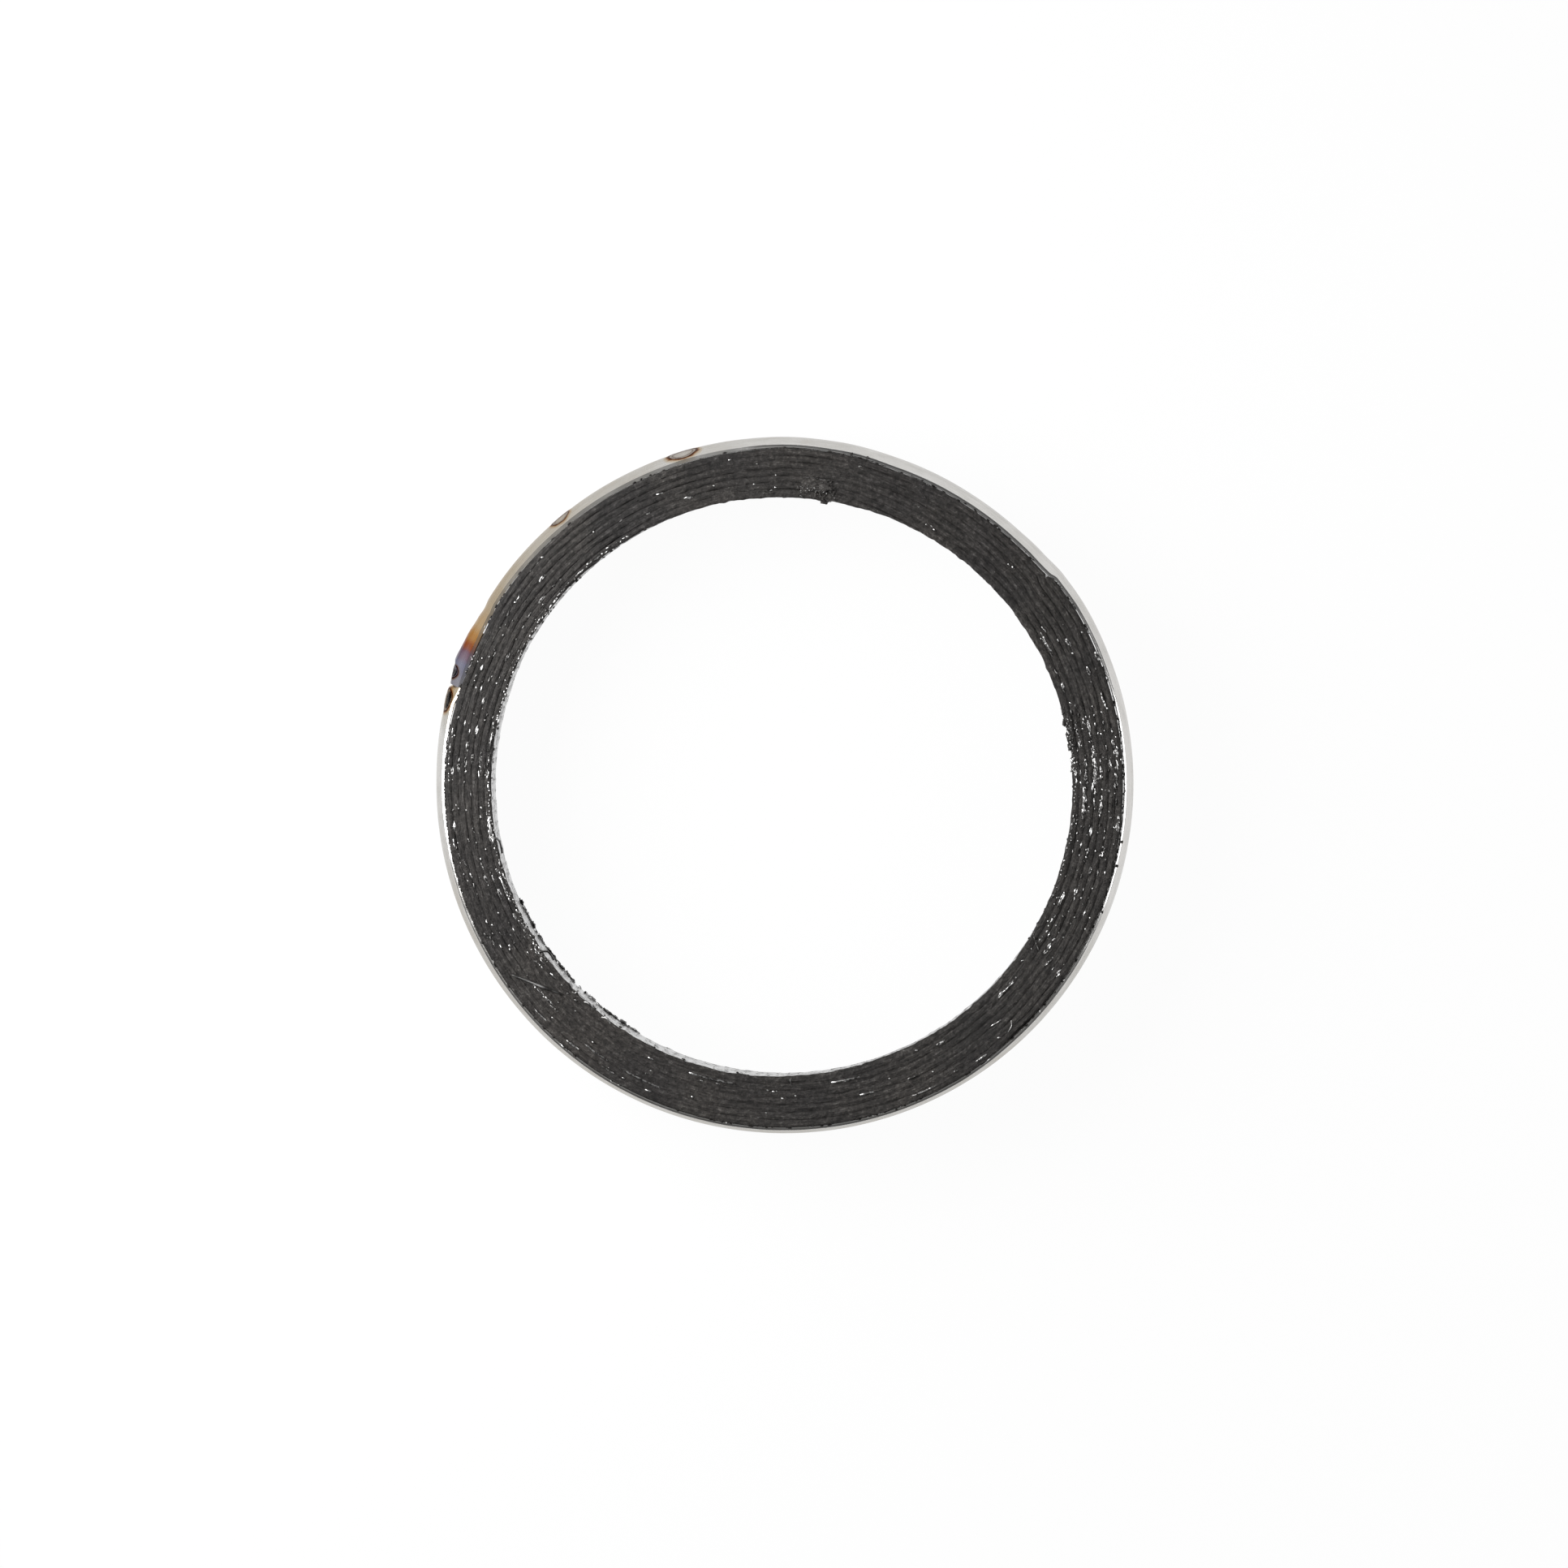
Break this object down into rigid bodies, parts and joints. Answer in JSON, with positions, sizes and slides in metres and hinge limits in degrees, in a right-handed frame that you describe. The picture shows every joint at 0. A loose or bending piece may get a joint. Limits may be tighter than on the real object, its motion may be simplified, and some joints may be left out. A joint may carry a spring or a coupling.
{
  "type": "exhaust pipe flange gasket",
  "caption": "Round exhaust flange gasket: wound graphite foil and knitted steel wire pressed into a ring, held in a rolled steel band with lapped and spot-welded ends.",
  "frame": {"origin": "centre of the lower sealing face, on the ring's axis", "axes": "+Z along the ring's axis, from the lower sealing face to the upper one that the picture shows; +X to the right and +Y up in the picture"},
  "size_m": [0.0656, 0.0656, 0.012],
  "materials": {
    "band_steel": "satin",
    "graphite": "satin",
    "mesh_steel": "satin"
  },
  "bodies": {
    "root": {"outer_band": "band_steel", "graphite_foil": "graphite", "wire_mesh": "mesh_steel"}
  },
  "joints": []
}
